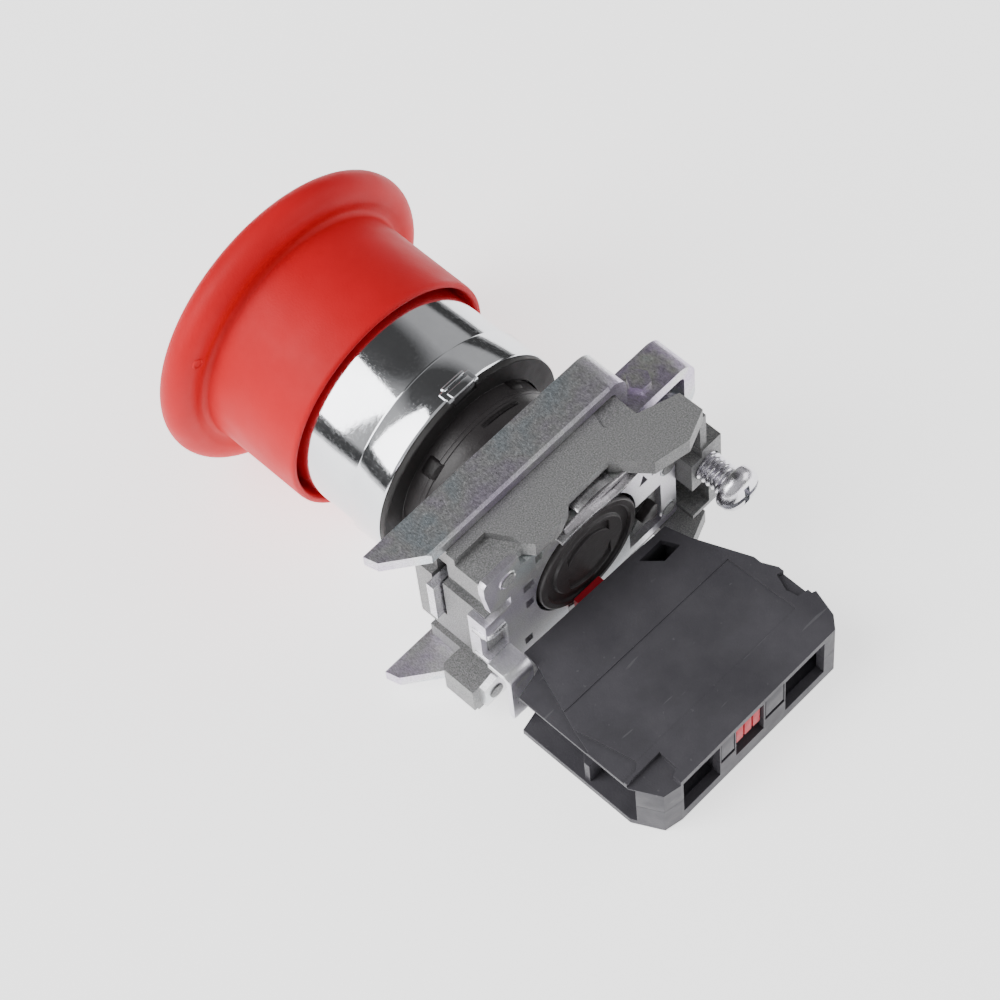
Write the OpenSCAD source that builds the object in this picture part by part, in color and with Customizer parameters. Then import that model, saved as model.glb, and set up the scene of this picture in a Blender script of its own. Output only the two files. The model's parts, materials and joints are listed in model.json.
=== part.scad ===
// Panel-mounted emergency stop button with its fixing collar and one contact block.
// The button's axis is Y: the mushroom faces -Y and the wiring end faces +Y.
// The origin is the centre of the panel hole, on the panel's front face.

/* [Button head] */
// Radius of the mushroom cap
cap_r = 20; // [19:0.5:22]
// Radius of the rounded rim of the cap
rim_r = 2.3; // [1.8:0.1:2.6]
// Radius of the skirt behind the mushroom
skirt_r = 15.6; // [15.4:0.1:16.2]
// Distance from the panel to the front of the cap
cap_front = 33.9; // [33:0.1:36]
// Distance from the panel to the open end of the skirt
skirt_end = 13.4; // [12:0.1:14]
// Travel of the button when it is pressed
push_travel = 4.5; // [3:0.1:4.5]
// Radius of the chromed bezel at its rear section
bezel_r = 14.3; // [14.2:0.05:14.4]

/* [Panel] */
// Radius of the neck that passes through the panel hole
neck_r = 11; // [10.8:0.05:11]
// Length of that neck
neck_len = 6.2; // [5.5:0.1:6.3]
// Thickness of the panel gasket
gasket_t = 0.8; // [0.6:0.1:0.9]

/* [Fixing collar] */
// Half the width of the zinc collar across its two side flanges
collar_half = 12.5; // [12.3:0.1:12.6]
// Depth of the collar, from its front to the rear plate
collar_depth = 11; // [10.5:0.1:11]
// Reach of the pointed blade tips from the button's axis
blade_tip = 22.2; // [21:0.1:24]
// Width of the clamp fork's strip along the button's axis
fork_w = 5.4; // [4.5:0.1:5.6]
// Thickness of the fork's steel strip
fork_t = 1.8; // [1.4:0.1:1.8]
// Travel of the fork towards the panel
fork_travel = 3.6; // [2:0.1:3.6]
// Radius of the clamp screw's thread
screw_r = 1.93; // [1.8:0.01:1.95]

/* [Contact block] */
// Height of the lower face of the contact block
block_z0 = -14.6; // [-14.8:0.1:-14.4]
// Thickness of the contact block
block_t = 9.6; // [9.4:0.1:9.8]
// Distance from the panel to the wiring end of the block
block_end = 43.8; // [43:0.1:45]
// Radius of a terminal screw's thread
term_r = 1.6; // [1.5:0.05:1.7]

/* [Hidden] */
$fn = 72;

// Working gaps between pieces
slide_gap = 0.06;
gap = 0.1;
eps = 0.01;

// Places along the button's axis
collar_y0 = 6.2;
collar_y1 = collar_y0 + collar_depth;
plate_t = 0.9;
plate_y = collar_y1;
fork_y0 = neck_len + 0.2;
fork_y1 = fork_y0 + fork_w;
stem_r = 4;
spigot_r = 3;
spigot_y = 12;
disc_y0 = 17.3;
disc_y1 = 18.6;
disc_r = 7.8;
pin_y = 2;

// Fork: outer and inner faces, bends and the hat that holds the screw
fork_z = collar_half + gap + fork_t;
fork_in = fork_z - fork_t;
bend_in = 0.8;
bend_out = bend_in + fork_t;
fork_x = -11.5;
fork_wall_x = fork_x - bend_in;
hat_z = 4.6;
hat_x = -22.6;
screw_x = -17.6;
screw_head_y = 24.3;

// Posts of the collar, staked over the rear plate, in X and Z
stakes = [[12, 9.6], [-13.7, 1.6], [-13.5, -7.4], [15.7, -11.4]];
stake_r = 0.95;

// Front of the lock ring
lock_y = 9.2;

// Contact block levels
block_z1 = block_z0 + block_t;
split_z = block_z0 + block_t / 2;
shell_t = 1;
term_xa = -8.1;
term_xb = 9.2;
term_z = -9.9;
plunger_x = 1;
plunger_half = 2.1;
plunger_way = [plunger_x - plunger_half - 0.4, plunger_x + plunger_half + 0.4];
plunger_y0 = disc_y1 + 0.05;
plunger_z0 = -9.9;
plunger_z1 = -6.2;
// Bridge with the button pressed in; it meets the fixed contacts when the button is out
closed_y = 29.4;
bridge_y = closed_y + push_travel;
bridge_t = 0.7;
tongue_y = 35.2;
tongue_t = 0.8;

// Points on a circle, from angle a0 to a1
function arc(cx, cy, r, a0, a1, n = 8) =
    [for (i = [0:n]) let(a = a0 + (a1 - a0) * i / n) [cx + r * cos(a), cy + r * sin(a)]];

// A ring of points on one turn of a coil around Y
function coil_ring(r, wire, y, turn, sides) =
    [for (j = [0:sides - 1]) let(b = 360 * j / sides)
        [(r + wire * cos(b)) * cos(turn), y + wire * sin(b), (r + wire * cos(b)) * sin(turn)]];

// A solid of revolution around Y, from an outline of [radius, y] points
module turned(outline) { rotate([-90, 0, 0]) rotate_extrude() polygon(outline); }

// A round bar along Y
module rod(r, y0, y1, x = 0, z = 0) {
    translate([x, y0, z]) rotate([-90, 0, 0]) cylinder(r = r, h = y1 - y0);
}

// A tube along Y
module tube(ro, ri, y0, y1, x = 0, z = 0) {
    difference() {
        rod(ro, y0, y1, x, z);
        rod(ri, y0 - 1, y1 + 1, x, z);
    }
}

// A box from its ranges along X, Y and Z
module block(x, y, z) {
    translate([x[0], y[0], z[0]]) cube([x[1] - x[0], y[1] - y[0], z[1] - z[0]]);
}

// A plate of constant Z thickness, from an outline in X and Y
module plate_xy(outline, z0, z1) {
    translate([0, 0, z0]) linear_extrude(z1 - z0) polygon(outline);
}

// A plate of constant Y thickness, from an outline in X and Z
module plate_xz(outline, y0, y1) {
    translate([0, y1, 0]) rotate([90, 0, 0]) linear_extrude(y1 - y0) polygon(outline);
}

// A quarter bend of strip around an axis along Y, towards sx and sz
module bend(cx, cz, sx, sz, ri, ro, y0, y1) {
    intersection() {
        tube(ro, ri, y0, y1, cx, cz);
        block([min(cx, cx + sx * ro), max(cx, cx + sx * ro)], [y0, y1],
              [min(cz, cz + sz * ro), max(cz, cz + sz * ro)]);
    }
}

// A coil spring around Y, swept along a helix
module coil(r, wire, y0, y1, turns, steps = 14, sides = 6) {
    n = turns * steps;
    rings = [for (i = [0:n]) coil_ring(r, wire, y0 + wire + (y1 - y0 - 2 * wire) * i / n,
                                       360 * i / steps, sides)];
    points = [for (ring = rings) each ring];
    sides_faces = [for (i = [0:n - 1], j = [0:sides - 1])
        let(k = (j + 1) % sides) [i * sides + j, (i + 1) * sides + j, (i + 1) * sides + k, i * sides + k]];
    caps = [[for (j = [0:sides - 1]) j], [for (j = [sides - 1:-1:0]) n * sides + j]];
    polyhedron(points, concat(sides_faces, caps));
}

// ---- Button head ----

rim_y = -30.1;
cap_in_r = skirt_r - 0.85;
cap_in_y = -29.6;
boss_r = 6.2;
boss_end = -21.5;
stem_front = -31.3;

module mushroom_cap() {
    dome_r = cap_r - rim_r;
    dome_h = cap_front + rim_y - rim_r;
    dome = [for (i = [0:9]) [dome_r * i / 10, -cap_front + dome_h * pow(i / 10, 2)]];
    outline = concat(dome, arc(dome_r, rim_y, rim_r, -90, 112, 14),
        arc(skirt_r + 0.7, -27.35, 0.7, 270, 180, 4),
        [[skirt_r, -skirt_end - 0.4], [skirt_r - 0.3, -skirt_end], [cap_in_r + 0.15, -skirt_end],
         [cap_in_r, -skirt_end - 0.5], [cap_in_r, cap_in_y - 0.6], [cap_in_r - 0.6, cap_in_y],
         [boss_r, cap_in_y], [boss_r, boss_end], [stem_r + slide_gap, boss_end],
         [stem_r + slide_gap, stem_front - 0.1], [0, stem_front - 0.1]]);
    color("red") turned(outline);
}

module push_stem() {
    color("dimgray") difference() {
        turned([[0, stem_front], [stem_r, stem_front], [stem_r, spigot_y], [spigot_r, spigot_y],
                [spigot_r, 14.45], [2.5, 14.45], [2.5, 15.15], [spigot_r, 15.15], [spigot_r, 16.5],
                [2.6, 16.9], [0, 16.9]]);
        // cross hole for the two latch pins
        translate([-stem_r - 1, pin_y, 0]) rotate([0, 90, 0]) cylinder(r = 1.16, h = 2 * stem_r + 2);
    }
}

module stem_circlip() {
    color("silver") difference() {
        tube(3.7, 2.55, 14.5, 15.1);
        block([-1, 1], [14, 16], [0, 5]);
    }
}

// A latch pin in the stem's cross hole; side is 1 or -1
module latch_pin(side) {
    color("lightsteelblue") rotate([0, side * 90, 0]) translate([0, pin_y, 1.2]) {
        cylinder(r = 1.1, h = 4.4);
        translate([0, 0, 4.4]) cylinder(r1 = 1.1, r2 = 0.5, h = 1.1);
    }
}
module latch_pin_a() { latch_pin(1); }
module latch_pin_b() { latch_pin(-1); }

module latch_spring() {
    color("gold") translate([0, pin_y, 0]) rotate([0, 0, -90]) translate([0, -1.15, 0]) coil(0.62, 0.13, 0, 2.3, 4);
}

module return_spring() {
    color("silver") coil(7.4, 0.42, cap_in_y + 0.05, -20.25, 5);
}

module bezel() {
    lug_x = [-2.1, 1.2];
    color("gainsboro") union() {
        turned([[6.95, -20.2], [13.3, -20.2], [13.8, -19.7], [13.95, -19.2], [13.95, -5.85], [14.05, -5.75],
                [bezel_r, -5.6], [bezel_r, -1], [bezel_r - 0.15, -gasket_t], [12.7, -gasket_t],
                [12.7, -3.2], [12.1, -3.2], [12.1, -19.1], [6.95, -19.1]]);
        // keying lug that laps over the gasket
        difference() {
            block(lug_x, [-2.2, -0.1], [13.2, 14.7]);
            block([lug_x[0] + 0.6, lug_x[1] - 0.6], [-1.6, -1.2], [14.45, 16]);
        }
    }
}

module gasket() {
    color("#1c1c1c") difference() {
        turned([[neck_r + 0.25, -gasket_t], [14.1, -gasket_t], [14.1, -0.1], [14, 0], [neck_r + 0.25, 0]]);
        block([-2.2, 1.3], [-1, 0.1], [13.1, 16]);
    }
}

module barrel() {
    color("#2b2828") difference() {
        turned([[stem_r + slide_gap, -18.9], [10.6, -18.9], [neck_r, -18.5], [neck_r, -3.1], [12.5, -3.1],
                [12.5, -gasket_t - 0.05], [neck_r, -gasket_t - 0.05], [neck_r, neck_len],
                [neck_r - 0.15, neck_len + 0.15], [neck_r - 0.15, 14.9], [10.4, 15.3], [9.6, 15.3],
                [9.6, -13], [stem_r + slide_gap, -13]]);
        // slots for the anti-twist ribs, and the passage for the contact block's plunger
        for (a = [45, 135, 225, 315])
            rotate([0, a, 0]) block([-1, 1], [12.5, 16], [9, 12]);
        block(plunger_way, [13.4, 16], [-12, -8]);
    }
}

module cam_sleeve() {
    color("whitesmoke") difference() {
        // the long flank is the ramp that draws the latch pins in
        turned([[5.9, -12.9], [9.5, -12.9], [9.5, 9], [5.9, 9], [5.9, 3.6], [7.3, 3.4], [7.3, 1], [6.9, 1],
                [5.9, -3.1]]);
        // two slots that let the sleeve flex
        for (a = [0, 180])
            rotate([0, a, 0]) block([-1.5, 1.5], [-11, -5], [5, 10]);
    }
}

module retaining_ring() {
    color("silver") difference() {
        turned([[9.1, 15.4], [10.8, 15.4], [10.8, 15.9], [10.3, 16.6], [9.1, 16.6]]);
        block(plunger_way, [15, 17], [-12, -7]);
    }
}

module actuator_plate() {
    ridge = 0.35;
    color("#262424") difference() {
        turned([[0, disc_y1], [0, 17.1], [spigot_r + slide_gap, 17.1], [spigot_r + slide_gap, 15.2],
                [3.85, 15.2], [3.85, 14.4], [spigot_r + slide_gap, 14.4], [spigot_r + slide_gap, spigot_y + gap],
                [5.5, spigot_y + gap], [5.5, 16.6], [disc_r - 0.4, disc_y0], [disc_r, disc_y0 + 0.3],
                [disc_r, disc_y1 - 0.2], [disc_r - 0.2, disc_y1], [disc_r - 0.9, disc_y1],
                [disc_r - 1.1, disc_y1 - ridge], [disc_r - 2.2, disc_y1 - ridge], [disc_r - 2.4, disc_y1]]);
        // arc slots in the rear face
        for (a = [0, 180])
            rotate([0, a, 0]) intersection() {
                tube(4.9, 3.6, disc_y1 - ridge, disc_y1 + 1);
                block([-3.4, 3.4], [disc_y1 - 1, disc_y1 + 1], [0, 6]);
            }
    }
}

// ---- Fixing collar ----

collar_x1 = 15.2;
collar_x0 = -13;
flange_t = 2.5;
lug_x0 = -20;
foot_x = 18.5;
foot_z0 = -14.3;

// Outline of a side flange of the collar
function flange_outline() =
    [[15, collar_y0 + 0.8], [15, 12], [collar_x1, 14.5], [14.4, 16.9], [8.8, collar_y1], [7.8, 18.5], [4, 18.7],
     [2.2, 18.1], [1.3, 17.3], [-5.3, 17.2], [-8.6, 21.2], [-13.3, 22.1], [-17.2, 20.5], [-17.1, 17.1],
     [-12.3, 15.5], [-8.1, 13.9], [-10, collar_y0 + 0.8]];

// Outline of the far flange, which stays clear of the contact block
function far_outline() =
    [[15, collar_y0 + 0.8], [15, collar_y1], [-11.8, collar_y1], [-12, 21], [-13.3, 22.1], [-17.2, 20.5],
     [-17.1, collar_y1 - 0.1], [-12.3, 15.5], [-10, 13.9], [-10, collar_y0 + 0.8]];

module collar_body() {
    color("darkgray") difference() {
        union() {
            plate_xy(flange_outline(), collar_half - flange_t, collar_half);
            plate_xy(far_outline(), -collar_half, flange_t - collar_half);
            // ring wall around the barrel
            block([fork_wall_x + 0.2, 11.5], [collar_y0, collar_y1], [-collar_half + 0.4, collar_half - 0.4]);
            // end wall at the pointed end of the fork
            plate_xy([[11, 5.4 + 0.8], [13.2, 5.4], [collar_x1 - 0.4, 5.6], [collar_x1, 6.2], [collar_x1, collar_y1],
                      [11, collar_y1]], -7.2, 4.2);
            block([11, 14.2], [7, collar_y1], [-collar_half, collar_half]);
            block([13, collar_x1], [12, collar_y1], [7.4, collar_half]);
            // foot that carries the contact block
            plate_xy([[13, 12], [foot_x - 0.6, 12], [foot_x, 12.6], [foot_x, collar_y1], [13, collar_y1]],
                     foot_z0 + 0.6, -9.4);
            plate_xy([[13, 12.6], [foot_x - 0.6, 12.6], [foot_x - 0.6, collar_y1], [13, collar_y1]],
                     foot_z0, foot_z0 + 0.7);
            // box around the clamp screw
            block([lug_x0, -15], [14.4, 20.6], [-9, 4]);
            block([-15.1, collar_x0 + 1.5], [14.4, collar_y1], [-10.4, 8.6]);
            block([-17.9, -16.9], [collar_y1, 20.3], [3.9, 10.3]);
            // posts staked over the rear plate
            for (p = stakes)
                rod(stake_r, collar_y1 - 1, plate_y + plate_t + 0.2, p[0], p[1]);
        }
        // bore for the barrel and the wider pocket of the lock ring
        rod(neck_r, 0, 40);
        rod(11.75, lock_y - 0.3, lock_y + 1.4);
        // passage for the contact block's plunger
        block(plunger_way, [13.4, 30], [-10.4, 0]);
        // slot for the lock ring's lever
        block([10, 20], [lock_y - 0.3, lock_y + 1.4], [-3.3, 7.1]);
        // dark gap under the near corner of the end wall
        block([11.8, 20], [11.4, collar_y1 + 0.1], [4.3, 7.3]);
        // lightening pocket on the facing side flange
        plate_xy([[15.6, 13.3], [10.4, 13.3], [8.7, 16.1], [8.7, 17.5], [15.6, 17.5]], collar_half - 1.2, 20);
        // hollow of the screw box, and the threaded hole
        block([-16.8, collar_x0 - 1.6], [15.8, 30], [2.7, 9.9]);
        block([-17.8, collar_x0 - 1.6], [15.8, 30], [-8.3, -2.7]);
        rod(screw_r + slide_gap, 10, 30, screw_x, 0);
        // window where the plunger and the disc show
        block([-5.2, 1.2], [15.4, 19], [9.2, 11.3]);
    }
}

module lock_ring() {
    color("lightgray") difference() {
        union() {
            tube(11.65, neck_r + 0.1, lock_y, lock_y + 1.1);
            // lever that reaches out through the end wall
            block([11.3, 16.4], [lock_y, lock_y + 1.1], [-3, 4]);
        }
        rod(neck_r + 0.1, lock_y - 1, lock_y + 2);
    }
}

module lock_spring() {
    // thin leaf, bent in a wave, that holds the lock ring's detent
    wave = [for (i = [0:10]) [4.6 - 1.3 * i, 9.4 + 0.3 * sin(i * 36)]];
    back = [for (i = [10:-1:0]) wave[i] - [0, 0.45]];
    color("mistyrose") plate_xz(concat(wave, back), plate_y + plate_t + 0.05, plate_y + plate_t + 1.3);
}

module rear_plate() {
    y1 = plate_y + plate_t;
    color("silver") difference() {
        union() {
            plate_xz([[15.6, 10.2], [15.6, 12], [15.1, 12.5], [10.1, 12.5], [9.9, 10.2], [8.9, 9.8], [-7, 9.8],
                      [-8, 9.4], [-12, 9.4], [-12.6, 8.2], [-14.9, 7.6], [-14.9, -9.6], [-14.4, -9.8],
                      [9, -9.8], [10, -10.6], [13.2, -12.4], [13.6, -13.2], [17.4, -13.2], [17.4, -9.4],
                      [15.4, -8.8], [12.4, -8.5], [12.2, -6.4], [15.3, -5], [15.3, 3.9], [11.9, 4.2],
                      [11.9, 5.7], [14.4, 5.7], [15, 6], [15.4, 8.9]],
                     plate_y, y1);
            // side lug, joined to the plate by two prongs
            block([collar_x1 + 0.05, collar_x1 + plate_t], [15.3, y1], [-5, 3.9]);
        }
        // opening between the prongs
        block([12.9, 17], [plate_y - 0.2, 20], [-3.6, 0.9]);
        // open corner beside the disc
        block([-12.4, -7], [10, 20], [-8.4, -0.6]);
        rod(disc_r + 0.4, 10, 30);
        block(plunger_way, [10, 30], [-10.5, 0]);
        // stamped slots beside the disc
        for (s = [[8.1, 4.3, 1.8], [8.5, 0.6, 1.2], [9.3, -6.9, 1.2], [6.6, 8.2, 1.1]])
            block([s[0], s[0] + s[2]], [10, 30], [s[1] - 0.7, s[1] + 0.7]);
        // holes for the staked posts
        for (p = stakes)
            rod(stake_r + 0.05, 10, 30, p[0], p[1]);
        // saw-tooth notches
        for (x = [-12.4, -10.4])
            plate_xz([[x, 3], [x + 1.4, 3], [x + 0.7, 4.8]], 10, 30);
    }
}

// Half of the fork, on the +Z side: blade, shoulder, and half of the hat
module fork_half() {
    difference() {
        plate_xy([[fork_x, fork_y0], [blade_tip, fork_y0], [blade_tip - 0.5, fork_y0 + 1.8],
                  [blade_tip - 5.2, fork_y1], [fork_x, fork_y1]], fork_in, fork_z);
        // bevel along the rear edge
        translate([0, fork_y1, fork_z]) rotate([45, 0, 0]) cube([60, 0.5, 0.5], center = true);
    }
    bend(fork_x, fork_in - bend_in, -1, 1, bend_in, bend_out, fork_y0, fork_y1);
    block([fork_wall_x - fork_t, fork_wall_x], [fork_y0, fork_y1], [hat_z + bend_in, fork_in - bend_in]);
    bend(fork_wall_x - fork_t - bend_in, hat_z + bend_in, 1, -1, bend_in, bend_out, fork_y0, fork_y1);
    block([hat_x, fork_wall_x - fork_t - bend_in], [fork_y0, fork_y1], [hat_z - fork_t, hat_z]);
    bend(hat_x, hat_z - bend_out, -1, 1, bend_in, bend_out, fork_y0, fork_y1);
    block([hat_x - bend_out, hat_x - bend_in], [fork_y0, fork_y1], [0, hat_z - bend_out]);
}

module clamp_fork() {
    color("lightsteelblue") union() {
        fork_half();
        mirror([0, 0, 1]) fork_half();
        // web that takes the screw's push
        block([hat_x - bend_in - eps, -14.6], [fork_y0, fork_y0 + 1.2], [-hat_z + fork_t - eps, hat_z - fork_t + eps]);
        // half-sheared boss on the hat
        translate([-18.6, 9.2, hat_z]) cylinder(r = 1.5, h = 0.7, $fn = 6);
    }
}

module clamp_screw() {
    head_r = 2.9;
    color("lightsteelblue") difference() {
        union() {
            rod(screw_r, fork_y0 + 1.3, screw_head_y, screw_x, 0);
            translate([screw_x, 0, 0]) turned([[0, screw_head_y], [head_r - 0.3, screw_head_y],
                [head_r, screw_head_y + 0.3], [head_r, screw_head_y + 1.3], [2.4, 26.5], [0, 26.9]]);
        }
        // slot and cross recess
        block([screw_x - 4, screw_x + 4], [25.7, 28], [-0.4, 0.4]);
        block([screw_x - 0.4, screw_x + 0.4], [25.4, 28], [-1.6, 1.6]);
    }
}

// ---- Contact block ----

module block_clip() {
    x = [12.9, 16.6];
    z1 = -3.6;
    y_turn = 20.6;
    color("silver") union() {
        block(x, [plate_y + plate_t + 0.1, y_turn + eps], [z1 - 0.8, z1]);
        intersection() {
            translate([x[0], y_turn, z1 - 1.2]) rotate([0, 90, 0]) difference() {
                cylinder(r = 1.2, h = x[1] - x[0]);
                cylinder(r = 0.4, h = 20, center = true);
            }
            block([x[0] - 1, x[1] + 1], [y_turn, y_turn + 2], [z1 - 1.2, z1 + 1]);
        }
        block(x, [y_turn + 0.4, y_turn + 1.2], [-12.6, z1 - 1.2 + eps]);
    }
}

// Outline of the block's shells
function block_outline() =
    [[12.3, 19.7], [12.5, 22.1], [16.6, 23], [16.6, 39.7], [14.7, 43.3], [12.4, block_end], [-13.4, block_end],
     [-14.7, 42.4], [-15.7, 38.9], [-15.2, 38.7], [-15.2, 33.7], [-14.3, 31.8], [-14.3, 30.7], [-11.3, 23.5],
     [-10.5, 20.4], [-4.5, 20.1]];

// Inside of the shells, one wall inwards
function block_inside() =
    [[12.1, 20.9], [12.1, 42.6], [-13, 42.6], [-14, 38.2], [-14, 33.9], [-13.1, 31.6], [-10.2, 23.6],
     [-9.6, 21.2]];

// Openings in the wiring face, for the terminals and the plunger
module rear_openings() {
    for (x = [[-11.6, -5], [6, 12]])
        block(x, [42, 45], [block_z0 + 1.8, block_z1 - shell_t]);
    block([plunger_x - 2.3, plunger_x + 2.3], [42, 45], [plunger_z0 - 2, block_z1 - shell_t]);
    // shallow seats of the two plain pads
    for (x = [[-4.8, -1.6], [3.5, 5.8]])
        block(x, [block_end - 0.3, 45], [split_z - 0.5, block_z1 - 0.9]);
}

module block_cover() {
    color("#4a484c") difference() {
        plate_xy(block_outline(), split_z, block_z1);
        plate_xy(block_inside(), split_z - 1, block_z1 - shell_t);
        // open bay beside the wall
        block([12.8, 18], [22, 40.4], [split_z - 1, block_z1 - shell_t]);
        // passages for the plunger
        block([plunger_x - 2.3, plunger_x + 2.3], [19, 22], [split_z - 1, plunger_z1 + 0.1]);
        rear_openings();
        // window and finger pocket
        plate_xy([[-8.8, 21.3], [-9.8, 23.4], [-7.1, 23.5], [-5.1, 21.3]], -20, 0);
        plate_xy([[-15.6, 34.6], [-14.3, 34.2], [-13.5, 36.3], [-13.8, 37.8], [-15.6, 38.2]], block_z1 - 0.8, 0);
        // lowered flap, its lower strip, the corner and a plain panel
        plate_xy([[12.4, 21.9], [15.5, 30.5], [16.4, 33.5], [18, 33.5], [18, 21.9]], block_z1 - 0.6, 0);
        plate_xy([[15.5, 30.5], [13.7, 38.4], [14.6, 39.1], [18, 39.1], [18, 33.5], [16.4, 33.5]],
                 block_z1 - 0.4, 0);
        plate_xy([[11.2, 39.5], [11.3, 42.2], [12.4, 42.6], [12.4, 45], [18, 45], [18, 39.5]], block_z1 - 0.8, 0);
        plate_xy([[-12.1, 28.7], [14.7, 28.2], [15.5, 30.5], [13.7, 38.4], [-12.5, 38.7]], block_z1 - 0.15, 0);
    }
}

module block_base() {
    color("#454347") difference() {
        union() {
            difference() {
                plate_xy(block_outline(), block_z0, split_z - 0.02);
                plate_xy(block_inside(), block_z0 + shell_t, 0);
                block([12.8, 18], [22, 40.4], [block_z0 + shell_t, 0]);
            }
            // triangular web in the open bay
            plate_xy([[12.2, 28.6], [16.2, 32.4], [16.2, 33.2], [12.2, 33.2]], block_z0 + 0.5, split_z - 0.05);
            // rib that seats the plunger's spring
            block([plunger_x - 1.4, plunger_x + 1.4], [38.4, 39.4], [block_z0 + 0.5, plunger_z0 - 0.4]);
            // posts between the terminals
            for (x = [-3.2, 5.2])
                block([x - 0.5, x + 0.5], [36.3, 43], [block_z0 + 0.5, split_z - 0.05]);
        }
        block([plunger_x - 2.3, plunger_x + 2.3], [19, 22], [plunger_z0 - 0.2, 0]);
        rear_openings();
    }
}

module contact_plunger() {
    x0 = plunger_x - plunger_half;
    x1 = plunger_x + plunger_half;
    color("crimson") union() {
        difference() {
            block([x0, x1], [plunger_y0, 43.3], [plunger_z0, plunger_z1]);
            // window that holds the moving bridge and its spring
            block([x0 - 1, x1 + 1], [bridge_y - 0.1, 40.2], [plunger_z0 + 0.6, plunger_z1 - 0.6]);
        }
        // lug that takes the return spring
        block([plunger_x - 1.2, plunger_x + 1.2], [26.4, 27.6], [plunger_z0 - 3, plunger_z0 + eps]);
    }
}

contact_z = [plunger_z0 + 0.7, plunger_z1 - 0.7];
spring_z = (plunger_z0 + plunger_z1) / 2;

module contact_bridge() {
    color("goldenrod") block([plunger_x - 6.2, plunger_x + 6.2], [bridge_y, bridge_y + bridge_t], contact_z);
}

module contact_spring() {
    color("silver") translate([plunger_x, 0, spring_z]) coil(0.9, 0.16, bridge_y + bridge_t, 40.2, 7, 12);
}

module plunger_spring() {
    color("silver") translate([plunger_x, 0, -12]) coil(0.85, 0.2, 27.65, 38.35, 9, 12);
}

// Fixed contact: tip in front of the bridge, strip along the floor, and the terminal tongue
module fixed_contact(term_x, side) {
    tip0 = plunger_x + side * 4.4;
    leg0 = plunger_x + side * 7.4;
    leg1 = plunger_x + side * 8.4;
    floor_z = block_z0 + shell_t + 0.3;
    color("goldenrod") union() {
        block([min(tip0, leg1), max(tip0, leg1)], [28.3, 29], contact_z);
        rod(0.9, 28.9, closed_y - 0.05, plunger_x + side * 5.3, spring_z);
        block([min(leg0, leg1), max(leg0, leg1)], [28.3, 29], [floor_z, contact_z[1]]);
        block([min(leg0, leg1), max(leg0, leg1)], [28.3, tongue_y + tongue_t], [floor_z, floor_z + 0.6]);
        difference() {
            block([term_x - 2.8, term_x + 2.8], [tongue_y, tongue_y + tongue_t], [floor_z, -7.2]);
            rod(term_r + 0.3, 30, 40, term_x, term_z);
        }
    }
}
module fixed_contact_a() { fixed_contact(term_xa, -1); }
module fixed_contact_b() { fixed_contact(term_xb, 1); }

// Clamping saddle under a terminal screw's head
saddle_y = 36.8;
module saddle(x) {
    color("silver") difference() {
        union() {
            block([x - 2.6, x + 2.6], [saddle_y, saddle_y + 0.8], [term_z - 2.5, term_z + 2.5]);
            for (s = [-1, 1])
                block([x - 2.6, x + 2.6], [saddle_y - 0.5, saddle_y + 0.1],
                      [term_z + s * 2.2 - 0.3, term_z + s * 2.2 + 0.3]);
        }
        rod(term_r + slide_gap, 30, 40, x, term_z);
    }
}
module saddle_a() { saddle(term_xa); }
module saddle_b() { saddle(term_xb); }

module terminal_screw(x) {
    head_y = saddle_y + 0.9;
    color("lightsteelblue") difference() {
        union() {
            rod(term_r, 32, head_y + 0.1, x, term_z);
            translate([x, 0, term_z]) turned([[0, head_y], [2.4, head_y], [2.7, head_y + 0.3],
                [2.7, head_y + 1.5], [2.3, head_y + 2.2], [0, head_y + 2.3]]);
        }
        block([x - 4, x + 4], [head_y + 1.4, 42], [term_z - 0.35, term_z + 0.35]);
        block([x - 0.35, x + 0.35], [head_y + 1.1, 42], [term_z - 1.4, term_z + 1.4]);
    }
}
module terminal_screw_a() { terminal_screw(term_xa); }
module terminal_screw_b() { terminal_screw(term_xb); }

mushroom_cap();
push_stem();
stem_circlip();
latch_pin_a();
latch_pin_b();
latch_spring();
return_spring();
bezel();
gasket();
barrel();
cam_sleeve();
retaining_ring();
actuator_plate();
collar_body();
lock_ring();
lock_spring();
rear_plate();
clamp_fork();
clamp_screw();
block_clip();
block_cover();
block_base();
contact_plunger();
contact_bridge();
contact_spring();
plunger_spring();
fixed_contact_a();
fixed_contact_b();
saddle_a();
saddle_b();
terminal_screw_a();
terminal_screw_b();
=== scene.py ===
import json
import math

import bmesh
import bpy
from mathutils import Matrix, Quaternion, Vector


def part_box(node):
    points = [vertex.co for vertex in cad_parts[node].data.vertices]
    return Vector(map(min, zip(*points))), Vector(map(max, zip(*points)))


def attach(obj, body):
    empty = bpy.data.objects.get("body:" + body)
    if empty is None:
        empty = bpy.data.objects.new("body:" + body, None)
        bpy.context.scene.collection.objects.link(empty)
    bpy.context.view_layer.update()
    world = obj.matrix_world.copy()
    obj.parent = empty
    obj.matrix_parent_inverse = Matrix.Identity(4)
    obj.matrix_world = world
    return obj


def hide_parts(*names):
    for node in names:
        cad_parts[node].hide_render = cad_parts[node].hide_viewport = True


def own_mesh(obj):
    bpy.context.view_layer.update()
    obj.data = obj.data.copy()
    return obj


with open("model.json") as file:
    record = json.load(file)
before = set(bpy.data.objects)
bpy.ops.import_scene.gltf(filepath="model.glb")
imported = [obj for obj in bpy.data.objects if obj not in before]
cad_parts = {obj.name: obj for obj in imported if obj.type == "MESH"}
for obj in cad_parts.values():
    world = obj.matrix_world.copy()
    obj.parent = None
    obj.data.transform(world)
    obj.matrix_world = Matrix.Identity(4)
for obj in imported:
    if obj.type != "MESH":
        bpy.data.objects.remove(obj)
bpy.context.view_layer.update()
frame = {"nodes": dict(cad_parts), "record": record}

MM = 0.001
GRAIN = 0.00012  # metres: how deep a full step of most grain textures is
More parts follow.
